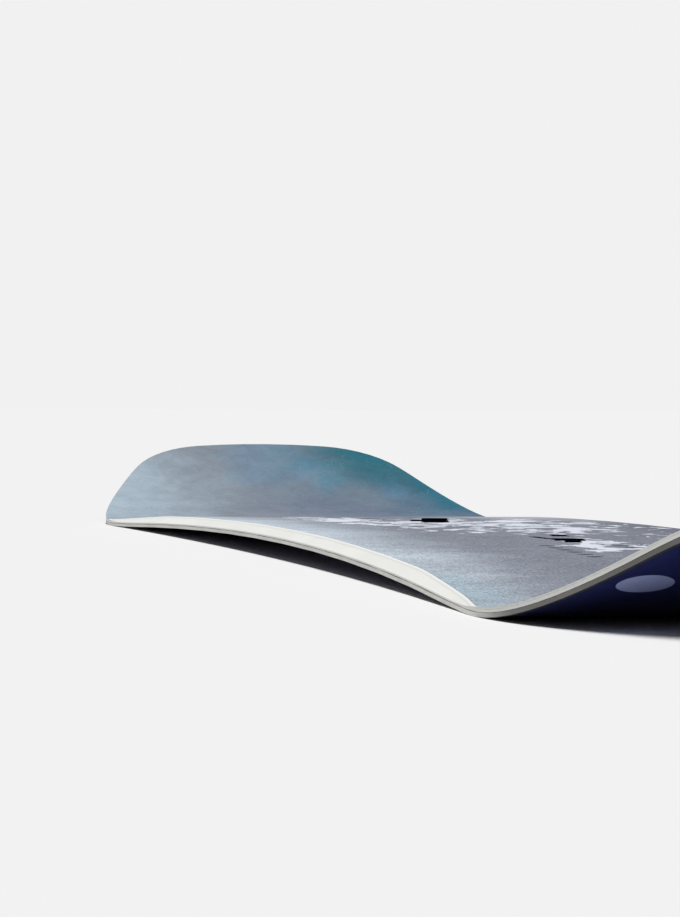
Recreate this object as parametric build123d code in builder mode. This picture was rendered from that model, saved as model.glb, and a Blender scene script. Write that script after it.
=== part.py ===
"""A cambered twin-tip snowboard, laid up as its real layers.

The board lies along X, nose at +X, and stands on its two contact lines at z = 0.
Every layer is the band between two lines of the side view, cut to the plan shape.
"""
from build123d import *
import os
from math import acos, asin, atan, atan2, cos, degrees, hypot, radians, sin

# Plan shape, from the waist out to the blunt tips
waist_width = 250.0
sidecut_radius = 9190.0
sidecut_half = 572.0
flank_radius = 319.0
flank_turn = 33.3
corner_radius = 72.0
tip_radius = 344.0

# Side view: the base line and the top line
contact_half = 595.0
camber = 9.4
crown_share = 0.877
tip_curve_radius = 354.0
tip_angle = 23.3
tip_overrun = 90.0
thickness_middle = 7.5
thickness_tip = 4.35
taper_start = 400.0
shoulder_radius = 2000.0

# Layers
base_thickness = 1.3
rail_height = 1.9
rail_width = 2.0
flange_width = 7.0
foil_thickness = 0.25
glass_thickness = 0.5
topsheet_thickness = 0.5

# Teeth of the edge flange, which the lower glass fills
tooth_pitch = 20.0
tooth_gap = 8.0
tooth_root = 4.0
tooth_run = 1060.0

# Sidewalls and core
sidewall_width = 12.0
core_half = 600.0
bevel_start = 3.0
bevel_slope = 30.6
bevel_reach = 12.0
bevel_fade = 60.0
stringer_lines = (10.0, 30.0, 60.0)

# Threaded inserts for the bindings
insert_pack_centre = 270.0
insert_columns = 6
insert_pitch = 20.0
insert_spacing = 40.0
insert_recess = 0.3
insert_barrel = 8.0
insert_bore = 5.0
insert_flange = 14.0
insert_flange_height = 1.0
insert_clearance = 0.2

# Round inlay in the base, under the tail
inlay_x = -708.5
inlay_y = 101.0
inlay_diameter = 23.0

# Circles of the plan shape: headings are measured from +X, turning clockwise
sidecut_heading = degrees(asin(sidecut_half / sidecut_radius))
sidecut_centre = Vector(0, waist_width / 2 + sidecut_radius)
flank_heading = sidecut_heading - flank_turn


def heading_normal(heading):
    """The unit vector to the left of a heading in the plan."""
    return Vector(-sin(radians(heading)), cos(radians(heading)))


flank_centre = sidecut_centre - heading_normal(sidecut_heading) * (sidecut_radius + flank_radius)
corner_centre = flank_centre + heading_normal(flank_heading) * (flank_radius - corner_radius)
corner_heading = -degrees(acos(corner_centre.Y / (tip_radius - corner_radius)))
tip_centre = corner_centre - heading_normal(corner_heading) * (tip_radius - corner_radius)
half_length = tip_centre.X + tip_radius

# Circles of the side view
crown_angle = 2 * degrees(atan(camber / contact_half))
camber_radii = contact_half / sin(radians(crown_angle))
crown_radius = camber_radii * crown_share
reverse_radius = camber_radii - crown_radius

# Top line: the crown's own circle, a shoulder, a straight taper and the tip's circle
top_radius = crown_radius + thickness_middle
tip_top_radius = tip_curve_radius - thickness_tip
shoulder_angle = degrees(asin(taper_start / top_radius))
shoulder_offset = top_radius - shoulder_radius
shoulder_centre = Vector(
    shoulder_offset * sin(radians(shoulder_angle)),
    camber - crown_radius + shoulder_offset * cos(radians(shoulder_angle)),
)
taper_reach = Vector(contact_half, tip_curve_radius) - shoulder_centre
taper_angle = degrees(
    atan2(taper_reach.X, taper_reach.Y)
    - acos((shoulder_radius + tip_top_radius) / hypot(taper_reach.X, taper_reach.Y))
)
insert_height = thickness_middle - rail_height - insert_recess

block_height = 100.0
block_width = 400.0


def tip_ramp(radius):
    """The straight end of a line whose tip curve has this radius, drawn in the open builder."""
    slope = radians(tip_angle)
    start = Vector(contact_half + radius * sin(slope), tip_curve_radius - radius * cos(slope))
    end = start + Vector(cos(slope), sin(slope)) * tip_overrun
    Line(start, end)
    return end


def base_line(height):
    """Half of the line at a height above the base, drawn in the open builder."""
    CenterArc((0, camber - crown_radius), crown_radius + height, 90 - crown_angle, crown_angle)
    CenterArc(
        (contact_half, reverse_radius), reverse_radius - height, -90 - crown_angle, crown_angle
    )
    CenterArc((contact_half, tip_curve_radius), tip_curve_radius - height, -90, tip_angle)
    return tip_ramp(tip_curve_radius - height)


def top_line(depth):
    """Half of the line at a depth below the top, drawn in the open builder."""
    taper_square = Vector(sin(radians(taper_angle)), cos(radians(taper_angle)))
    tip_centre_line = Vector(contact_half, tip_curve_radius)
    CenterArc(
        (0, camber - crown_radius), top_radius - depth, 90 - shoulder_angle, shoulder_angle
    )
    CenterArc(
        shoulder_centre,
        shoulder_radius - depth,
        90 - taper_angle,
        taper_angle - shoulder_angle,
    )
    Line(
        shoulder_centre + taper_square * (shoulder_radius - depth),
        tip_centre_line - taper_square * (tip_top_radius + depth),
    )
    CenterArc(
        tip_centre_line, tip_top_radius + depth, -90 - taper_angle, taper_angle + tip_angle
    )
    return tip_ramp(tip_top_radius + depth)


def band(lower_line, lower_distance, upper_line, upper_distance):
    """The side view of a layer between two lines."""
    with BuildSketch(Plane.XZ) as side:
        with BuildLine():
            lower_end = lower_line(lower_distance)
            upper_end = upper_line(upper_distance)
            Line(lower_end, upper_end)
            mirror(about=Plane.YZ)
        make_face()
    return side.sketch


def plan(inset):
    """The plan shape, moved inwards by inset."""
    with BuildSketch() as outline:
        with BuildLine():
            CenterArc(sidecut_centre, sidecut_radius + inset, -90, sidecut_heading)
            CenterArc(flank_centre, flank_radius - inset, 90 + flank_heading, flank_turn)
            CenterArc(
                corner_centre,
                corner_radius - inset,
                90 + corner_heading,
                flank_heading - corner_heading,
            )
            CenterArc(tip_centre, tip_radius - inset, 0, 90 + corner_heading)
            mirror(about=Plane.XZ)
            mirror(about=Plane.YZ)
        make_face()
    return outline.sketch


def ring(outer_inset, inner_inset):
    """The plan of a strip that follows the board's outline."""
    with BuildSketch() as strip:
        add(plan(outer_inset))
        add(plan(inner_inset), mode=Mode.SUBTRACT)
    return strip.sketch


def tooth_gaps():
    """The plan of the gaps between the teeth of the edge flange."""
    with BuildSketch() as gaps:
        with GridLocations(tooth_pitch, 0, int(tooth_run / tooth_pitch) + 1, 1):
            Rectangle(tooth_gap, block_width)
        add(ring(tooth_root, flange_width), mode=Mode.INTERSECT)
    return gaps.sketch


def base_height(x):
    """Height of the base line at a distance x from the middle, out to the tip curve."""
    crown_end = crown_radius * sin(radians(crown_angle))
    if abs(x) < crown_end:
        return camber - crown_radius + (crown_radius**2 - x**2) ** 0.5
    radius = reverse_radius if abs(x) < contact_half else tip_curve_radius
    return radius - (radius**2 - (abs(x) - contact_half) ** 2) ** 0.5


def half_width(x):
    """Half the board's width at a distance x from the middle, out to the flank."""
    sidecut_end = sidecut_radius * sin(radians(sidecut_heading))
    if abs(x) < sidecut_end:
        return sidecut_centre.Y - (sidecut_radius**2 - x**2) ** 0.5
    return flank_centre.Y + (flank_radius**2 - (abs(x) - flank_centre.X) ** 2) ** 0.5


def insert_places(side):
    """Seats of one pack of inserts: each stands upright on the arched lower glass."""
    places = []
    for column in range(insert_columns):
        x = side * insert_pack_centre + (column - (insert_columns - 1) / 2) * insert_pitch
        seat = base_height(abs(x) - insert_flange / 2) + rail_height
        for row in (-1, 1):
            places.append(Location((x, row * insert_spacing / 2, seat)))
    return places


insert_seats = {side: insert_places(side) for side in (1, -1)}
all_seats = insert_seats[1] + insert_seats[-1]

# The wedge that bevels the left side: it starts at a fixed height above the base
# and fades out where the board has thinned to its tips
full_bevel_half = core_half - bevel_fade
bevel_stations = [step * full_bevel_half / 5 for step in range(-5, 6)]
bevel_stations = [-core_half] + bevel_stations + [core_half]
with BuildPart() as bevel_left:
    for station in bevel_stations:
        side_y = half_width(station)
        run_out = thickness_tip - bevel_start if abs(station) == core_half else 0
        start_z = base_height(station) + bevel_start + run_out
        end_z = base_height(station) + bevel_reach
        reach = (bevel_reach - bevel_start - run_out) / sin(radians(bevel_slope))
        with BuildSketch(Plane.YZ.offset(station)):
            with BuildLine():
                Polyline(
                    (side_y, start_z),
                    (side_y - reach * cos(radians(bevel_slope)), end_z),
                    (side_y + sidewall_width, end_z),
                    (side_y + sidewall_width, start_z),
                    close=True,
                )
            make_face()
    loft()
bevel_right = mirror(bevel_left.part, about=Plane.XZ)

# Base: sintered polyethylene inside the steel edges, die-cut for the round inlay
with BuildPart() as base_sheet:
    extrude(band(base_line, 0, base_line, base_thickness), amount=block_width / 2, both=True)
    extrude(plan(rail_width), amount=block_height, mode=Mode.INTERSECT)
    with BuildSketch():
        with Locations((inlay_x, inlay_y)):
            Circle(inlay_diameter / 2)
    extrude(amount=block_height, mode=Mode.SUBTRACT)

# Inlay: a flush disc in the opening of the base
with BuildPart() as base_inlay_tail:
    extrude(band(base_line, 0, base_line, base_thickness), amount=block_width / 2, both=True)
    with BuildSketch():
        with Locations((inlay_x, inlay_y)):
            Circle(inlay_diameter / 2)
    extrude(amount=block_height, mode=Mode.INTERSECT)

# Steel edges: a square rail with a toothed flange lying on the base, in two halves
with BuildPart() as edge_pair:
    extrude(
        band(base_line, base_thickness, base_line, rail_height), amount=block_width / 2, both=True
    )
    extrude(ring(0, flange_width), amount=block_height, mode=Mode.INTERSECT)
    extrude(tooth_gaps(), amount=block_height, mode=Mode.SUBTRACT)
with BuildPart() as rail_pair:
    extrude(band(base_line, 0, base_line, rail_height), amount=block_width / 2, both=True)
    extrude(ring(0, rail_width), amount=block_height, mode=Mode.INTERSECT)
with BuildPart() as steel_edge_left:
    add(edge_pair.part)
    add(rail_pair.part)
    split(bisect_by=Plane.ZX, keep=Keep.TOP)
steel_edge_right = mirror(steel_edge_left.part, about=Plane.XZ)

# Rubber foil: a damping strip between the steel and the sidewall
with BuildPart() as rubber_foil_left:
    extrude(
        band(base_line, rail_height, base_line, rail_height + foil_thickness),
        amount=block_width / 2,
        both=True,
    )
    extrude(ring(0, sidewall_width), amount=block_height, mode=Mode.INTERSECT)
    split(bisect_by=Plane.ZX, keep=Keep.TOP)
rubber_foil_right = mirror(rubber_foil_left.part, about=Plane.XZ)

# Lower glass: fills the plan inside the edge flange and between its teeth
with BuildPart() as lower_glass:
    extrude(
        band(base_line, base_thickness, base_line, rail_height), amount=block_width / 2, both=True
    )
    with BuildSketch():
        add(plan(flange_width))
        add(tooth_gaps())
    extrude(amount=block_height, mode=Mode.INTERSECT)

# Core blank: everything between the two glass layers and the sidewalls
skin_thickness = glass_thickness + topsheet_thickness
core_band = band(base_line, rail_height, top_line, skin_thickness)
with BuildPart() as core_blank:
    extrude(core_band, amount=block_width / 2, both=True)
    with BuildSketch():
        add(plan(sidewall_width))
        Rectangle(2 * core_half, block_width, mode=Mode.INTERSECT)
    extrude(amount=block_height, mode=Mode.INTERSECT)
    with Locations(*all_seats):
        Cylinder(
            insert_barrel / 2,
            thickness_middle,
            align=(Align.CENTER, Align.CENTER, Align.MIN),
            mode=Mode.SUBTRACT,
        )
        with Locations((0, 0, insert_flange_height)):
            Cylinder(
                insert_flange / 2,
                2 * insert_flange_height,
                align=(Align.CENTER, Align.CENTER, Align.MAX),
                mode=Mode.SUBTRACT,
            )


def stringer(inner_y, outer_y):
    """The wood strip of the core between two lines along the board."""
    with BuildPart() as strip:
        add(core_blank.part)
        with Locations((0, (inner_y + outer_y) / 2, 0)):
            Box(2 * core_half, outer_y - inner_y, block_height, mode=Mode.INTERSECT)
    return strip.part


core_centre = stringer(-stringer_lines[0], stringer_lines[0])
core_inner_left = stringer(stringer_lines[0], stringer_lines[1])
core_middle_left = stringer(stringer_lines[1], stringer_lines[2])
core_outer_left = stringer(stringer_lines[2], block_width / 2)
core_inner_right = mirror(core_inner_left, about=Plane.XZ)
core_middle_right = mirror(core_middle_left, about=Plane.XZ)
core_outer_right = mirror(core_outer_left, about=Plane.XZ)

# Sidewalls: bevelled strips along the core, on the rubber foil
with BuildPart() as sidewall_left:
    extrude(
        band(base_line, rail_height + foil_thickness, top_line, skin_thickness),
        amount=block_width / 2,
        both=True,
    )
    with BuildSketch():
        add(ring(0, sidewall_width))
        Rectangle(2 * core_half, block_width, mode=Mode.INTERSECT)
    extrude(amount=block_height, mode=Mode.INTERSECT)
    split(bisect_by=Plane.ZX, keep=Keep.TOP)
    add(bevel_left.part, mode=Mode.SUBTRACT)
sidewall_right = mirror(sidewall_left.part, about=Plane.XZ)

# Tip spacers: fill the tips beyond the core, out to the rim above the rubber foil
with BuildPart() as tip_spacer_nose:
    extrude(core_band, amount=block_width / 2, both=True)
    with BuildSketch():
        add(plan(0))
        with Locations((core_half, 0)):
            Rectangle(
                half_length,
                block_width,
                align=(Align.MIN, Align.CENTER),
                mode=Mode.INTERSECT,
            )
    extrude(amount=block_height, mode=Mode.INTERSECT)
    add(rubber_foil_left.part, mode=Mode.SUBTRACT)
    add(rubber_foil_right, mode=Mode.SUBTRACT)
tip_spacer_tail = mirror(tip_spacer_nose.part, about=Plane.YZ)


def skin(outer_depth, inner_depth):
    """A layer over the core, bevelled with the sidewalls and drilled over the inserts."""
    with BuildPart() as layer:
        extrude(
            band(top_line, inner_depth, top_line, outer_depth), amount=block_width / 2, both=True
        )
        extrude(plan(0), amount=block_height, mode=Mode.INTERSECT)
        add(bevel_left.part, mode=Mode.SUBTRACT)
        add(bevel_right, mode=Mode.SUBTRACT)
        with Locations(*all_seats):
            Cylinder(
                insert_barrel / 2 + insert_clearance,
                2 * thickness_middle,
                align=(Align.CENTER, Align.CENTER, Align.MIN),
                mode=Mode.SUBTRACT,
            )
    return layer.part


upper_glass = skin(topsheet_thickness, skin_thickness)
topsheet = skin(0, topsheet_thickness)


def insert_pack(side):
    """One pack of flanged steel inserts, seated on the lower glass."""
    with BuildPart() as pack:
        with Locations(*insert_seats[side]):
            Cylinder(
                insert_barrel / 2, insert_height, align=(Align.CENTER, Align.CENTER, Align.MIN)
            )
            Cylinder(
                insert_flange / 2,
                insert_flange_height,
                align=(Align.CENTER, Align.CENTER, Align.MIN),
            )
            Cylinder(
                insert_bore / 2,
                insert_height,
                align=(Align.CENTER, Align.CENTER, Align.MIN),
                mode=Mode.SUBTRACT,
            )
    return pack.part


pieces = {
    "base_sheet": base_sheet.part,
    "base_inlay_tail": base_inlay_tail.part,
    "steel_edge_left": steel_edge_left.part,
    "steel_edge_right": steel_edge_right,
    "rubber_foil_left": rubber_foil_left.part,
    "rubber_foil_right": rubber_foil_right,
    "lower_glass": lower_glass.part,
    "core_centre": core_centre,
    "core_inner_left": core_inner_left,
    "core_inner_right": core_inner_right,
    "core_middle_left": core_middle_left,
    "core_middle_right": core_middle_right,
    "core_outer_left": core_outer_left,
    "core_outer_right": core_outer_right,
    "sidewall_left": sidewall_left.part,
    "sidewall_right": sidewall_right,
    "tip_spacer_nose": tip_spacer_nose.part,
    "tip_spacer_tail": tip_spacer_tail,
    "upper_glass": upper_glass,
    "topsheet": topsheet,
    "inserts_front": insert_pack(1),
    "inserts_rear": insert_pack(-1),
}

os.makedirs("parts", exist_ok=True)
for name, piece in pieces.items():
    piece.label = name
    export_step(piece, f"parts/{name}.step")
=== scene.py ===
import math

import bpy
from mathutils import Matrix

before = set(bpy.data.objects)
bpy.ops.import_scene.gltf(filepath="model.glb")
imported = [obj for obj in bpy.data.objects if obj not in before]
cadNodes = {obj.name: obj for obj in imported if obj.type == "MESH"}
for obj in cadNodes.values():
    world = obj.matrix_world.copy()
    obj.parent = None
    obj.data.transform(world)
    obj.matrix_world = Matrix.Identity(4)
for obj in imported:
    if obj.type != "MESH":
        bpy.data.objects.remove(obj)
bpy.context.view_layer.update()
scene = bpy.context.scene
print("frame loaded:", len(cadNodes), "nodes")


# sRGB hex to the linear colour that the shaders take
def linearColour(hexText):
    channels = [int(hexText[i:i + 2], 16) / 255 for i in (1, 3, 5)]
    return [c / 12.92 if c <= 0.04045 else ((c + 0.055) / 1.055) ** 2.4 for c in channels] + [1]


# adds a node; a tuple (node, output) in inputs is a link, anything else is a value
def addNode(tree, kind, inputs=None, **settings):
    made = tree.nodes.new(kind)
    for name, value in settings.items():
        setattr(made, name, value)
    for name, value in (inputs or {}).items():
        if isinstance(value, tuple) and isinstance(value[0], bpy.types.Node):
            tree.links.new(value[0].outputs[value[1]], made.inputs[name])
        else:
            made.inputs[name].default_value = value
    return made


def newMaterial(name):
    material = bpy.data.materials.new(name)
    material.use_nodes = True
    material.node_tree.nodes.clear()
    return material, material.node_tree


def giveMaterial(material, *nodeNames):
    for nodeName in nodeNames:
        slots = cadNodes[nodeName].data.materials
        slots.clear()
        slots.append(material)


# topsheet: the printed film that the rider stands on; lengths in metres
topsheetLook = {
    "deck": "#80848F",           # grey, with a breath of lavender
    "cutEdge": "#F1F1ED",        # the milled edge of the film
    "drilledHalf": (0.60, 0.085),  # the insert holes lie within this oval
    "foamWhite": "#D4D8E2",
    "ink": "#030408",
    # soft clouds of colour: centre, half sizes, hex, how much of it, how ragged
    "clouds": [
        ((0.00, 0.155), (0.85, 0.105), "#C0CBD5", 0.95, 0.22),    # pale band along the left edge
        ((-0.52, 0.137), (0.12, 0.038), "#9DB0BB", 0.70, 0.35),   # blue patch by the tail contact
        ((0.42, -0.100), (0.30, 0.080), "#B7B8C0", 0.85, 0.30),   # pale grey on the right
        ((-0.02, -0.110), (0.20, 0.045), "#727580", 0.90, 0.30),  # darker by the right edge
        ((0.70, 0.020), (0.15, 0.30), "#838C97", 1.00, 0.15),     # grey nose
        ((0.70, 0.150), (0.20, 0.120), "#A4B4C0", 1.00, 0.30),    # pale left of the nose
        ((0.70, -0.195), (0.22, 0.215), "#4B6B81", 1.00, 0.22),   # deep blue towards the right
        ((0.655, -0.030), (0.05, 0.090), "#6F788C", 0.55, 0.40),  # plum at the nose's foot
        ((0.765, -0.005), (0.050, 0.045), "#6E8FA8", 0.45, 0.60),  # steel blue below the crown
        ((0.735, -0.040), (0.034, 0.024), "#7099B2", 0.40, 0.70),  # bright blue wisp
        ((0.795, -0.095), (0.110, 0.085), "#286B7A", 0.95, 0.25),  # teal shoulder
        ((0.715, -0.130), (0.080, 0.034), "#2F7083", 0.75, 0.40),  # teal below the shoulder
        ((0.700, -0.088), (0.026, 0.022), "#5F86A2", 0.45, 0.60),  # wisp by the shoulder
    ],
    # splashed foam: centre and half sizes of the splashes
    "splashes": [((0.10, -0.028), (0.30, 0.125)), ((-0.218, -0.013), (0.120, 0.038)),
                 ((0.21, 0.045), (0.24, 0.042))],
    "foamPatch": 0.017,          # one fleck of foam
    "foamCrowding": 0.22,        # how much denser it is in the middle of a splash
    "foamShift": 0.03,           # how far the flecks are pushed out of line
    "foamRaggedness": 0.15,
    # dark brush marks: centre, size, turn in degrees
    "marks": [
        ((-0.149, -0.010), (0.030, 0.017), -10), ((-0.099, -0.017), (0.022, 0.010), -10),
        ((-0.134, -0.001), (0.042, 0.005), 8), ((-0.171, -0.007), (0.026, 0.009), -14),
        ((0.220, -0.016), (0.150, 0.017), -12), ((0.200, 0.000), (0.050, 0.008), -12),
    ],
    "markFray": 0.005,           # how far the marks' sides wander
    "grainAcross": 0.0008,       # the real grain is near 0.2 mm; drawn coarser so that it shows
    "grainLength": 6,            # times its width
    "grainTail": 1.35,           # strength of the grain near the tail
    "grainNose": 0.30,           # and on the nose
    "cloudDepth": 0.07,          # how much lighter and darker the clouds drift
    "mottleSize": 0.020,         # brush-dabbed unevenness of the print
    "mottleDepth": 0.10,
    "scuff": "#B9C6CF",
    "scuffGap": 0.005,
    "scuffStrength": 0.15,
    "roughness": 0.72,
}


# a soft cloud: 1 at its middle, 0 outside, its rim broken up by a noise
def cloudMask(tree, coords, breakUp, centre, halfSize, ragged):
    moved = addNode(tree, "ShaderNodeVectorMath", {0: coords, 1: (*centre, 0)}, operation="SUBTRACT")
    scaled = addNode(tree, "ShaderNodeVectorMath", {
        0: (moved, 0), 1: (1 / halfSize[0], 1 / halfSize[1], 0)}, operation="MULTIPLY")
    away = addNode(tree, "ShaderNodeVectorMath", {0: (scaled, 0)}, operation="LENGTH")
    broken = addNode(tree, "ShaderNodeMath", {
        0: breakUp, 1: 4 * ragged, 2: (away, "Value")}, operation="MULTIPLY_ADD")
    return addNode(tree, "ShaderNodeMapRange", {
        "Value": (broken, 0), "From Min": 1.1, "From Max": 0.25}, interpolation_type="SMOOTHSTEP")


# a flat brush stroke: 1 inside a turned box whose sides are ragged
def strokeMask(tree, coords, wobble, centre, size, turn):
    moved = addNode(tree, "ShaderNodeVectorMath", {0: coords, 1: (*centre, 0)}, operation="SUBTRACT")
    turned = addNode(tree, "ShaderNodeVectorRotate", {
        "Vector": (moved, 0), "Angle": math.radians(-turn)}, rotation_type="Z_AXIS")
    ragged = addNode(tree, "ShaderNodeVectorMath", {0: (turned, 0), 1: wobble}, operation="ADD")
    parts = addNode(tree, "ShaderNodeSeparateXYZ", {0: (ragged, 0)})
    reach = []
    for axis, half in ((0, size[0] / 2), (1, size[1] / 2)):
        away = addNode(tree, "ShaderNodeMath", {0: (parts, axis)}, operation="ABSOLUTE")
        reach.append(addNode(tree, "ShaderNodeMath", {0: (away, 0), 1: half}, operation="LESS_THAN"))
    return addNode(tree, "ShaderNodeMath", {0: (reach[0], 0), 1: (reach[1], 0)}, operation="MULTIPLY")


# the stronger of many masks
def widest(tree, masks):
    total = masks[0]
    for mask in masks[1:]:
        total = addNode(tree, "ShaderNodeMath", {0: (total, 0), 1: (mask, 0)}, operation="MAXIMUM")
    return total


def printedNylon():
    look = topsheetLook
    # matt lacquered nylon: hardly any shine even at low angles, so the print keeps its depth
    material, tree = newMaterial("mattPrintedNylon")
    place = addNode(tree, "ShaderNodeTexCoord")
    cloudy = addNode(tree, "ShaderNodeTexNoise", {
        "Vector": (place, "Object"), "Scale": 9.0, "Detail": 6.0, "Roughness": 0.6, "Distortion": 0.7})
    breakUp = addNode(tree, "ShaderNodeMath", {0: (cloudy, 0), 1: 0.5}, operation="SUBTRACT")
    drift = addNode(tree, "ShaderNodeMapRange", {
        "Value": (cloudy, 0), "From Min": 0.3, "From Max": 0.7,
        "To Min": 1 - look["cloudDepth"], "To Max": 1 + look["cloudDepth"]})
    colour = addNode(tree, "ShaderNodeVectorMath", {
        0: linearColour(look["deck"])[:3], 3: (drift, 0)}, operation="SCALE")
    colourOut = (colour, 0)
    for centre, halfSize, hexText, amount, ragged in look["clouds"]:
        mask = cloudMask(tree, (place, "Object"), (breakUp, 0), centre, halfSize, ragged)
        part = addNode(tree, "ShaderNodeMath", {0: (mask, 0), 1: amount}, operation="MULTIPLY")
        mixed = addNode(tree, "ShaderNodeMix", {
            0: (part, 0), 6: colourOut, 7: linearColour(hexText)}, data_type="RGBA")
        colourOut = (mixed, 2)
    # grain of the print, along the board and weaker on the nose
    parts = addNode(tree, "ShaderNodeSeparateXYZ", {0: (place, "Object")})
    stretch = addNode(tree, "ShaderNodeMapping", {
        "Vector": (place, "Object"), "Scale": (1 / look["grainLength"], 1, 1)})
    grain = addNode(tree, "ShaderNodeTexNoise", {
        "Vector": (stretch, 0), "Scale": 1 / look["grainAcross"], "Detail": 1.0, "Roughness": 0.6})
    grainOffset = addNode(tree, "ShaderNodeMath", {0: (grain, 0), 1: 0.5}, operation="SUBTRACT")
    grainDepth = addNode(tree, "ShaderNodeMapRange", {
        "Value": (parts, 0), "From Min": -0.3, "From Max": 0.62,
        "To Min": look["grainTail"], "To Max": look["grainNose"]})
    grainGain = addNode(tree, "ShaderNodeMath", {
        0: (grainOffset, 0), 1: (grainDepth, 0), 2: 1.0}, operation="MULTIPLY_ADD")
    mottle = addNode(tree, "ShaderNodeTexNoise", {
        "Vector": (place, "Object"), "Scale": 1 / look["mottleSize"], "Detail": 5.0, "Roughness": 0.65,
        "Distortion": 1.0})
    mottleGain = addNode(tree, "ShaderNodeMapRange", {
        "Value": (mottle, 0), "From Min": 0.3, "From Max": 0.7,
        "To Min": 1 - look["mottleDepth"], "To Max": 1 + look["mottleDepth"]})
    gain = addNode(tree, "ShaderNodeMath", {0: (grainGain, 0), 1: (mottleGain, 0)}, operation="MULTIPLY")
    grained = addNode(tree, "ShaderNodeVectorMath", {0: colourOut, 3: (gain, 0)}, operation="SCALE")
    # faint pale scuffs, as if rubbed on with a dry cloth
    scuffPlace = addNode(tree, "ShaderNodeMapping", {
        "Vector": (place, "Object"), "Rotation": (0, 0, 0.3), "Scale": (0.3, 1, 1)})
    scuffNoise = addNode(tree, "ShaderNodeTexNoise", {
        "Vector": (scuffPlace, 0), "Scale": 1 / look["scuffGap"], "Detail": 4.0, "Distortion": 1.5})
    scuff = addNode(tree, "ShaderNodeMapRange", {
        "Value": (scuffNoise, 0), "From Min": 0.62, "From Max": 0.80,
        "To Max": look["scuffStrength"]})
    scuffed = addNode(tree, "ShaderNodeMix", {
        0: (scuff, 0), 6: (grained, 0), 7: linearColour(look["scuff"])}, data_type="RGBA")
    # foam: sharp-edged flecks, crowded at the middle of each splash
    shake = addNode(tree, "ShaderNodeTexNoise", {
        "Vector": (place, "Object"), "Scale": 30.0, "Detail": 2.0})
    shift = addNode(tree, "ShaderNodeVectorMath", {0: (shake, 1), 3: look["foamShift"]}, operation="SCALE")
    shaken = addNode(tree, "ShaderNodeVectorMath", {0: (place, "Object"), 1: (shift, 0)}, operation="ADD")
    foamPlace = addNode(tree, "ShaderNodeMapping", {"Vector": (shaken, 0), "Scale": (0.62, 1, 1)})
    fleck = addNode(tree, "ShaderNodeTexNoise", {
        "Vector": (foamPlace, 0), "Scale": 1 / look["foamPatch"], "Detail": 4.0, "Roughness": 0.62})
    splash = widest(tree, [
        cloudMask(tree, (place, "Object"), (breakUp, 0), centre, halfSize, look["foamRaggedness"])
        for centre, halfSize in look["splashes"]])
    crowd = addNode(tree, "ShaderNodeMath", {
        0: (splash, 0), 1: look["foamCrowding"], 2: (fleck, 0)}, operation="MULTIPLY_ADD")
    flecks = addNode(tree, "ShaderNodeMapRange", {
        "Value": (crowd, 0), "From Min": 0.690, "From Max": 0.715}, interpolation_type="SMOOTHSTEP")
    inSplash = addNode(tree, "ShaderNodeMapRange", {"Value": (splash, 0), "From Max": 0.15})
    foam = addNode(tree, "ShaderNodeMath", {0: (flecks, 0), 1: (inSplash, 0)}, operation="MULTIPLY")
    foamed = addNode(tree, "ShaderNodeMix", {
        0: (foam, 0), 6: (scuffed, 2), 7: linearColour(look["foamWhite"])}, data_type="RGBA")
    # dark brush marks
    fray = addNode(tree, "ShaderNodeTexNoise", {"Vector": (place, "Object"), "Scale": 160.0, "Detail": 2.0})
    frayOffset = addNode(tree, "ShaderNodeVectorMath", {0: (fray, 1), 1: (0.5, 0.5, 0.5)},
                         operation="SUBTRACT")
    wobble = addNode(tree, "ShaderNodeVectorMath", {0: (frayOffset, 0), 3: look["markFray"]},
                     operation="SCALE")
    ink = widest(tree, [strokeMask(tree, (place, "Object"), (wobble, 0), centre, size, turn)
                        for centre, size, turn in look["marks"]])
    inked = addNode(tree, "ShaderNodeMix", {
        0: (ink, 0), 6: (foamed, 2), 7: linearColour(look["ink"])}, data_type="RGBA")
    # the cut edge shows the pale body of the film, but the drilled holes stay print-coloured
    facing = addNode(tree, "ShaderNodeSeparateXYZ", {0: (place, "Normal")})
    sideways = addNode(tree, "ShaderNodeMath", {0: (facing, 1)}, operation="ABSOLUTE")
    bevelFace = addNode(tree, "ShaderNodeMath", {0: (sideways, 0), 1: 0.25}, operation="GREATER_THAN")
    wallFace = addNode(tree, "ShaderNodeMath", {0: (facing, 2), 1: 0.5}, operation="LESS_THAN")
    milled = addNode(tree, "ShaderNodeMath", {0: (bevelFace, 0), 1: (wallFace, 0)}, operation="MAXIMUM")
    offMiddle = addNode(tree, "ShaderNodeVectorMath", {
        0: (place, "Object"), 1: (1 / look["drilledHalf"][0], 1 / look["drilledHalf"][1], 0)},
        operation="MULTIPLY")
    outside = addNode(tree, "ShaderNodeVectorMath", {0: (offMiddle, 0)}, operation="LENGTH")
    rim = addNode(tree, "ShaderNodeMath", {0: (outside, "Value"), 1: 1.0}, operation="GREATER_THAN")
    cut = addNode(tree, "ShaderNodeMath", {0: (milled, 0), 1: (rim, 0)}, operation="MULTIPLY")
    finished = addNode(tree, "ShaderNodeMix", {
        0: (cut, 0), 6: (inked, 2), 7: linearColour(look["cutEdge"])}, data_type="RGBA")
    bump = addNode(tree, "ShaderNodeBump", {"Height": (grain, 0), "Strength": 0.12, "Distance": 0.0001})
    shader = addNode(tree, "ShaderNodeBsdfPrincipled", {
        "Base Color": (finished, 2), "Roughness": look["roughness"], "IOR": 1.53,
        "Specular IOR Level": 0.0, "Normal": (bump, 0)})
    addNode(tree, "ShaderNodeOutputMaterial", {"Surface": (shader, "BSDF")})
    return material


giveMaterial(printedNylon(), "topsheet")
print("topsheet: matt printed nylon")

# sidewalls and tip spacers
sidewallLook = {"white": "#F5F5F1", "millMark": 0.0015, "roughness": 0.42}


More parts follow.
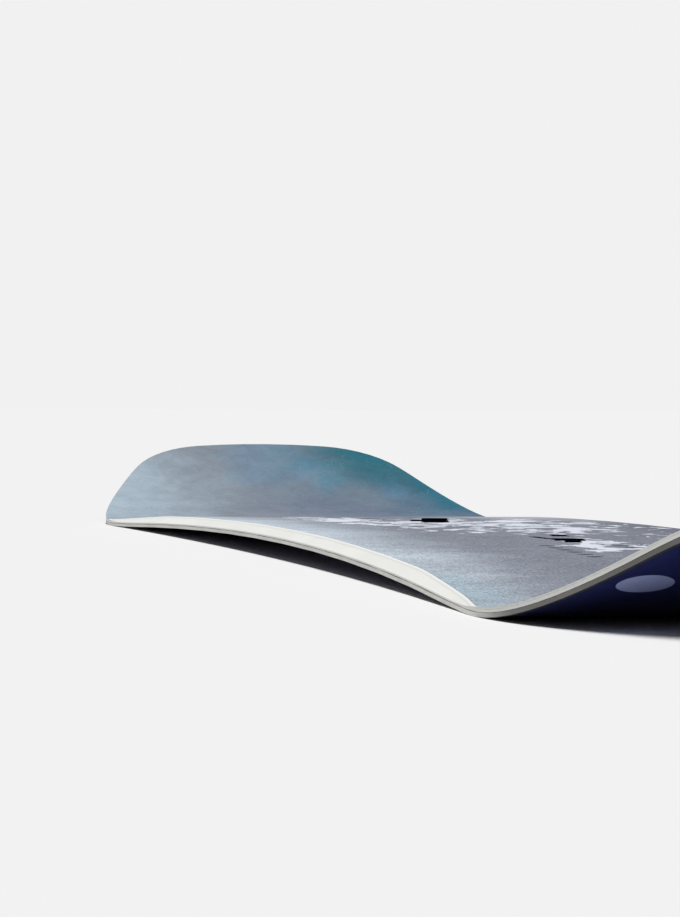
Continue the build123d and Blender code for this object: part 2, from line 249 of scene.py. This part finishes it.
def milledAbs():
    look = sidewallLook
    # opaque white plastic; the cutter leaves faint marks across the bevel, 1.5 mm apart
    material, tree = newMaterial("milledAbs")
    place = addNode(tree, "ShaderNodeTexCoord")
    stretch = addNode(tree, "ShaderNodeMapping", {"Vector": (place, "Object"), "Scale": (1, 0.08, 0.3)})
    marks = addNode(tree, "ShaderNodeTexNoise", {
        "Vector": (stretch, 0), "Scale": 1 / look["millMark"], "Detail": 2.0})
    stain = addNode(tree, "ShaderNodeTexNoise", {
        "Vector": (place, "Object"), "Scale": 18.0, "Detail": 4.0})
    tint = addNode(tree, "ShaderNodeMapRange", {
        "Value": (stain, 0), "From Min": 0.3, "From Max": 0.7, "To Min": 0.95, "To Max": 1.02})
    colour = addNode(tree, "ShaderNodeVectorMath", {
        0: linearColour(look["white"])[:3], 3: (tint, 0)}, operation="SCALE")
    bump = addNode(tree, "ShaderNodeBump", {"Height": (marks, 0), "Strength": 0.1, "Distance": 0.0001})
    shader = addNode(tree, "ShaderNodeBsdfPrincipled", {
        "Base Color": (colour, 0), "Roughness": look["roughness"], "IOR": 1.54,
        "Normal": (bump, 0)})
    addNode(tree, "ShaderNodeOutputMaterial", {"Surface": (shader, "BSDF")})
    return material


giveMaterial(milledAbs(), "sidewall_left", "sidewall_right", "tip_spacer_nose", "tip_spacer_tail")
print("sidewalls and spacers: milled ABS")

# steel edges
edgeLook = {
    "steel": "#D2D1CC", "grindLine": 0.0006,
    "smoothest": 0.34, "roughest": 0.54,
    "tipShadeStart": 0.58,    # painted shade starts here: further out the steel is drawn darker, standing in for the shade round the tips
    "tipShadeFade": 0.07,
    # how dark the painted shade leaves the steel at the tips
    "tipShadeShare": 0.30,
}


def groundSteel():
    look = edgeLook
    # hardened carbon steel off a belt: lengthwise lines that spread the reflection along the
    # rail; round the tips its colour is darkened as painted shade
    material, tree = newMaterial("groundCarbonSteel")
    place = addNode(tree, "ShaderNodeTexCoord")
    stretch = addNode(tree, "ShaderNodeMapping", {"Vector": (place, "Object"), "Scale": (0.03, 1, 1)})
    lines = addNode(tree, "ShaderNodeTexNoise", {
        "Vector": (stretch, 0), "Scale": 1 / look["grindLine"], "Detail": 2.0})
    rough = addNode(tree, "ShaderNodeMapRange", {
        "Value": (lines, 0), "From Min": 0.3, "From Max": 0.7,
        "To Min": look["smoothest"], "To Max": look["roughest"]})
    parts = addNode(tree, "ShaderNodeSeparateXYZ", {0: (place, "Object")})
    outward = addNode(tree, "ShaderNodeMath", {0: (parts, 0)}, operation="ABSOLUTE")
    # painted shade: the steel's colour is darkened towards the tips, standing in for the shade there
    tipShade = addNode(tree, "ShaderNodeMapRange", {
        "Value": (outward, 0),
        "From Min": look["tipShadeStart"], "From Max": look["tipShadeStart"] + look["tipShadeFade"],
        "To Min": 1.0, "To Max": look["tipShadeShare"]}, interpolation_type="SMOOTHSTEP")
    oxide = addNode(tree, "ShaderNodeTexNoise", {
        "Vector": (place, "Object"), "Scale": 22.0, "Detail": 5.0})
    tint = addNode(tree, "ShaderNodeMapRange", {
        "Value": (oxide, 0), "From Min": 0.3, "From Max": 0.7, "To Min": 0.85, "To Max": 1.08})
    shade = addNode(tree, "ShaderNodeMath", {0: (tipShade, 0), 1: (tint, 0)}, operation="MULTIPLY")
    colour = addNode(tree, "ShaderNodeVectorMath", {
        0: linearColour(look["steel"])[:3], 3: (shade, 0)}, operation="SCALE")
    bump = addNode(tree, "ShaderNodeBump", {"Height": (lines, 0), "Strength": 0.2, "Distance": 0.00008})
    shader = addNode(tree, "ShaderNodeBsdfPrincipled", {
        "Base Color": (colour, 0), "Metallic": 1.0, "Roughness": (rough, 0), "Normal": (bump, 0)})
    addNode(tree, "ShaderNodeOutputMaterial", {"Surface": (shader, "BSDF")})
    return material


giveMaterial(groundSteel(), "steel_edge_left", "steel_edge_right")
print("edges: ground steel")

# base and its inlay
baseLook = {"navy": "#161D54", "inlay": "#A3AEDC", "structureLine": 0.0009,
            "smoothest": 0.28, "roughest": 0.44}


def sinteredPolyethylene(name, hexText):
    look = baseLook
    # waxed plastic with a soft shine, scored lengthwise by the grinding stone; the real lines
    # are 0.3 mm apart and are drawn 0.9 mm apart so that they show
    material, tree = newMaterial(name)
    place = addNode(tree, "ShaderNodeTexCoord")
    stretch = addNode(tree, "ShaderNodeMapping", {"Vector": (place, "Object"), "Scale": (0.02, 1, 1)})
    lines = addNode(tree, "ShaderNodeTexNoise", {
        "Vector": (stretch, 0), "Scale": 1 / look["structureLine"], "Detail": 2.0})
    wax = addNode(tree, "ShaderNodeTexNoise", {"Vector": (place, "Object"), "Scale": 9.0, "Detail": 4.0})
    tint = addNode(tree, "ShaderNodeMapRange", {
        "Value": (wax, 0), "From Min": 0.3, "From Max": 0.7, "To Min": 0.85, "To Max": 1.15})
    colour = addNode(tree, "ShaderNodeVectorMath", {
        0: linearColour(hexText)[:3], 3: (tint, 0)}, operation="SCALE")
    rough = addNode(tree, "ShaderNodeMapRange", {
        "Value": (wax, 0), "From Min": 0.3, "From Max": 0.7,
        "To Min": look["smoothest"], "To Max": look["roughest"]})
    bump = addNode(tree, "ShaderNodeBump", {"Height": (lines, 0), "Strength": 0.15, "Distance": 0.00006})
    shader = addNode(tree, "ShaderNodeBsdfPrincipled", {
        "Base Color": (colour, 0), "Roughness": (rough, 0), "IOR": 1.51, "Normal": (bump, 0)})
    addNode(tree, "ShaderNodeOutputMaterial", {"Surface": (shader, "BSDF")})
    return material


giveMaterial(sinteredPolyethylene("navyPolyethylene", baseLook["navy"]), "base_sheet")
giveMaterial(sinteredPolyethylene("palePolyethylene", baseLook["inlay"]), "base_inlay_tail")
print("base: sintered polyethylene")

# inner layers, seen as lines at the rim and in the insert holes
innerLook = {
    "rubber": "#1A1A1A", "darkGlass": "#8A8C87", "paleGlass": "#EDEEE8",
    "poplar": "#D3B384", "poplarLine": "#B08D5C", "insert": "#8F8F8D",
    "ring": 0.004, "weave": 0.003,
}


def curedRubber():
    # thin matt black foil
    material, tree = newMaterial("curedRubber")
    place = addNode(tree, "ShaderNodeTexCoord")
    grit = addNode(tree, "ShaderNodeTexNoise", {"Vector": (place, "Object"), "Scale": 900.0})
    bump = addNode(tree, "ShaderNodeBump", {"Height": (grit, 0), "Strength": 0.2, "Distance": 0.0001})
    shader = addNode(tree, "ShaderNodeBsdfPrincipled", {
        "Base Color": linearColour(innerLook["rubber"]), "Roughness": 0.7, "IOR": 1.52,
        "Normal": (bump, 0)})
    addNode(tree, "ShaderNodeOutputMaterial", {"Surface": (shader, "BSDF")})
    return material


def stitchedGlass(name, hexText):
    # cured resin with fibre bundles at forty-five degrees, 3 mm apart
    bandGap = 0.31   # the wave texture's own spacing at scale 1
    material, tree = newMaterial(name)
    place = addNode(tree, "ShaderNodeTexCoord")
    turned = addNode(tree, "ShaderNodeMapping", {
        "Vector": (place, "Object"), "Rotation": (0, 0, math.radians(45))})
    bundles = addNode(tree, "ShaderNodeTexWave", {
        "Vector": (turned, 0), "Scale": bandGap / innerLook["weave"], "Distortion": 0.4})
    tint = addNode(tree, "ShaderNodeMapRange", {"Value": (bundles, 1), "To Min": 0.90, "To Max": 1.0})
    colour = addNode(tree, "ShaderNodeVectorMath", {
        0: linearColour(hexText)[:3], 3: (tint, 0)}, operation="SCALE")
    shader = addNode(tree, "ShaderNodeBsdfPrincipled", {
        "Base Color": (colour, 0), "Roughness": 0.35, "IOR": 1.55})
    addNode(tree, "ShaderNodeOutputMaterial", {"Surface": (shader, "BSDF")})
    return material


def sandedPoplar():
    # pale straight-grained wood
    material, tree = newMaterial("sandedPoplar")
    place = addNode(tree, "ShaderNodeTexCoord")
    stretch = addNode(tree, "ShaderNodeMapping", {"Vector": (place, "Object"), "Scale": (0.04, 1, 1)})
    rings = addNode(tree, "ShaderNodeTexNoise", {
        "Vector": (stretch, 0), "Scale": 1 / innerLook["ring"], "Detail": 5.0, "Distortion": 0.5})
    colour = addNode(tree, "ShaderNodeMix", {
        0: (rings, 0), 6: linearColour(innerLook["poplar"]), 7: linearColour(innerLook["poplarLine"])},
        data_type="RGBA")
    shader = addNode(tree, "ShaderNodeBsdfPrincipled", {
        "Base Color": (colour, 2), "Roughness": 0.6, "IOR": 1.5})
    addNode(tree, "ShaderNodeOutputMaterial", {"Surface": (shader, "BSDF")})
    return material


def turnedSteel():
    # bright zinc-plated steel with fine turning marks
    material, tree = newMaterial("zincPlatedSteel")
    place = addNode(tree, "ShaderNodeTexCoord")
    marks = addNode(tree, "ShaderNodeTexNoise", {"Vector": (place, "Object"), "Scale": 1500.0})
    bump = addNode(tree, "ShaderNodeBump", {"Height": (marks, 0), "Strength": 0.15, "Distance": 0.00005})
    shader = addNode(tree, "ShaderNodeBsdfPrincipled", {
        "Base Color": linearColour(innerLook["insert"]), "Metallic": 1.0, "Roughness": 0.32,
        "Normal": (bump, 0)})
    addNode(tree, "ShaderNodeOutputMaterial", {"Surface": (shader, "BSDF")})
    return material


giveMaterial(curedRubber(), "rubber_foil_left", "rubber_foil_right")
giveMaterial(stitchedGlass("smokedGlassLaminate", innerLook["darkGlass"]), "lower_glass")
giveMaterial(stitchedGlass("clearGlassLaminate", innerLook["paleGlass"]), "upper_glass")
giveMaterial(sandedPoplar(), *[n for n in cadNodes if n.startswith("core_")])
giveMaterial(turnedSteel(), "inserts_front", "inserts_rear")
print("inner layers done")

# floor and light: a row of overhead lamps along the board and hardly any fill, so the shade
# below is deep, crisp along the edges and soft round the tips
stageLook = {
    "floor": "#E8E8E8", "backdrop": 0.879, "shine": 0.45, "fill": 0.09,
    "lamp": 0.675, "lampSpread": 15, "lampTilts": (-28, -14, 0, 14, 28),
    "floorHalf": 60, "floorDrop": 0.0001,
}
floorMesh = bpy.data.meshes.new("floor")
corners = [(x * stageLook["floorHalf"], y * stageLook["floorHalf"], -stageLook["floorDrop"])
           for x, y in ((-1, -1), (1, -1), (1, 1), (-1, 1))]
floorMesh.from_pydata(corners, [], [(0, 1, 2, 3)])
floor = bpy.data.objects.new("floor", floorMesh)
scene.collection.objects.link(floor)
floorMaterial, floorTree = newMaterial("paleFloor")
floorShader = addNode(floorTree, "ShaderNodeBsdfPrincipled", {
    "Base Color": linearColour(stageLook["floor"]), "Roughness": 0.9, "Specular IOR Level": 0.0})
addNode(floorTree, "ShaderNodeOutputMaterial", {"Surface": (floorShader, "BSDF")})
floorMesh.materials.append(floorMaterial)

world = bpy.data.worlds.new("studio")
scene.world = world
world.use_nodes = True
roomTree = world.node_tree
roomTree.nodes.clear()
rays = addNode(roomTree, "ShaderNodeLightPath")
shine = addNode(roomTree, "ShaderNodeMapRange", {
    "Value": (rays, "Is Glossy Ray"), "To Min": stageLook["fill"], "To Max": stageLook["shine"]})
strength = addNode(roomTree, "ShaderNodeMapRange", {
    "Value": (rays, "Is Camera Ray"), "To Min": (shine, 0), "To Max": stageLook["backdrop"]})
room = addNode(roomTree, "ShaderNodeBackground", {
    "Color": (1, 1, 1, 1), "Strength": (strength, 0)})
addNode(roomTree, "ShaderNodeOutputWorld", {"Surface": (room, "Background")})

for number, tilt in enumerate(stageLook["lampTilts"]):
    lampData = bpy.data.lights.new(f"overhead{number + 1}", "SUN")
    lampData.energy = stageLook["lamp"]
    lampData.angle = math.radians(stageLook["lampSpread"])
    lamp = bpy.data.objects.new(lampData.name, lampData)
    lamp.rotation_euler = (0, math.radians(tilt), 0)
    scene.collection.objects.link(lamp)

cameraPlace = {
    "location": (-2.1619, 0.5005, 0.0883),
    "heading": -100.8145,   # degrees from +Y
    "tilt": 89.192,
    "roll": 0.3835,
    "lens": 150.88,
}
cameraData = bpy.data.cameras.new("camera")
cameraData.lens = cameraPlace["lens"]
cameraData.sensor_width = 36
cameraData.clip_start, cameraData.clip_end = 0.05, 200
camera = bpy.data.objects.new("camera", cameraData)
camera.matrix_world = (
    Matrix.Translation(cameraPlace["location"])
    @ Matrix.Rotation(math.radians(cameraPlace["heading"]), 4, "Z")
    @ Matrix.Rotation(math.radians(cameraPlace["tilt"]), 4, "X")
    @ Matrix.Rotation(math.radians(cameraPlace["roll"]), 4, "Z")
)
scene.collection.objects.link(camera)
scene.camera = camera
scene.view_settings.view_transform = "Standard"
print("stage, light and camera set")
